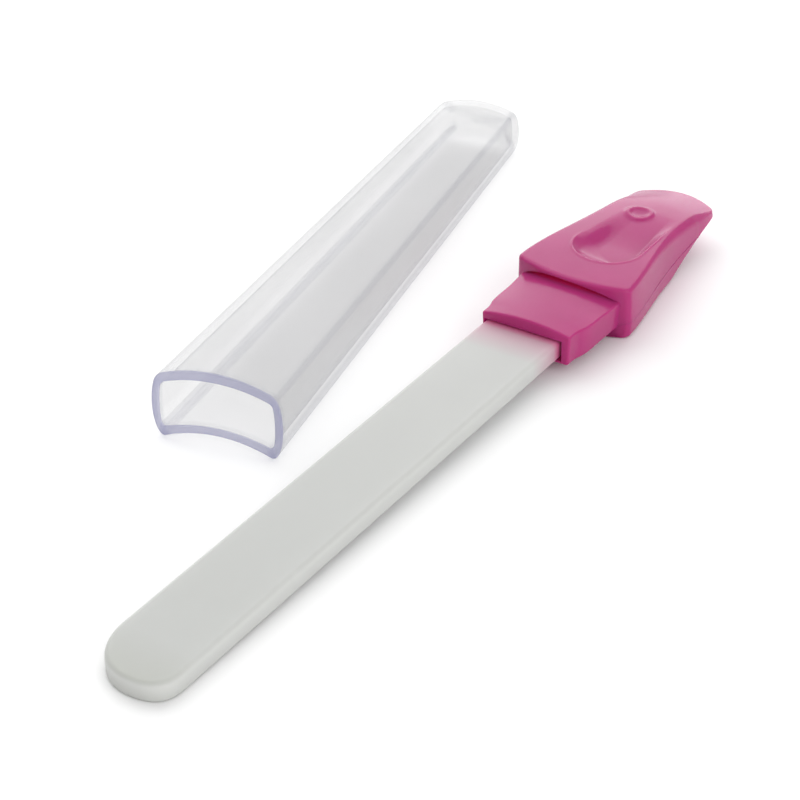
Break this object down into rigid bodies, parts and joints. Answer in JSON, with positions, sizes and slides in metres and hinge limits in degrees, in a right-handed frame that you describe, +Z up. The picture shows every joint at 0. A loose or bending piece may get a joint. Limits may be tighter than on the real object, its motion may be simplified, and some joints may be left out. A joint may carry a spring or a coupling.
{
  "type": "cuticle pusher",
  "caption": "Frosted glass nail file in a moulded grip whose thin end is a cuticle pusher, lying beside its clear tapered protective cap.",
  "frame": {"origin": "middle of the flat underside of the grip, on the surface that the pusher and its cap lie on", "axes": "+Z up; +Y along the cap from its open mouth to its closed end. The pusher lies beside the cap, its tip towards -Y, turned 11.4 degrees from +Y towards +X"},
  "size_m": [0.0609, 0.1692, 0.0124],
  "materials": {
    "frosted_glass": "finely ground, matt, faintly green in the depth",
    "pink_plastic": "glossy moulded, slightly translucent magenta pink",
    "adhesive": "cured, off-white",
    "clear_plastic": "clear injection-moulded, polished, with a lilac cast in thick sections"
  },
  "bodies": {
    "pusher": {"glass_blade": "frosted_glass", "handle_body": "pink_plastic", "handle_cover": "pink_plastic", "tang_adhesive": "adhesive"},
    "cap": {"protective_cap": "clear_plastic"}
  },
  "joints": [
    {"name": "cap_pull_off", "type": "slide", "parent": "pusher", "child": "cap", "axis": [0, 1, 0], "range_m": [0, 0.115]}
  ]
}
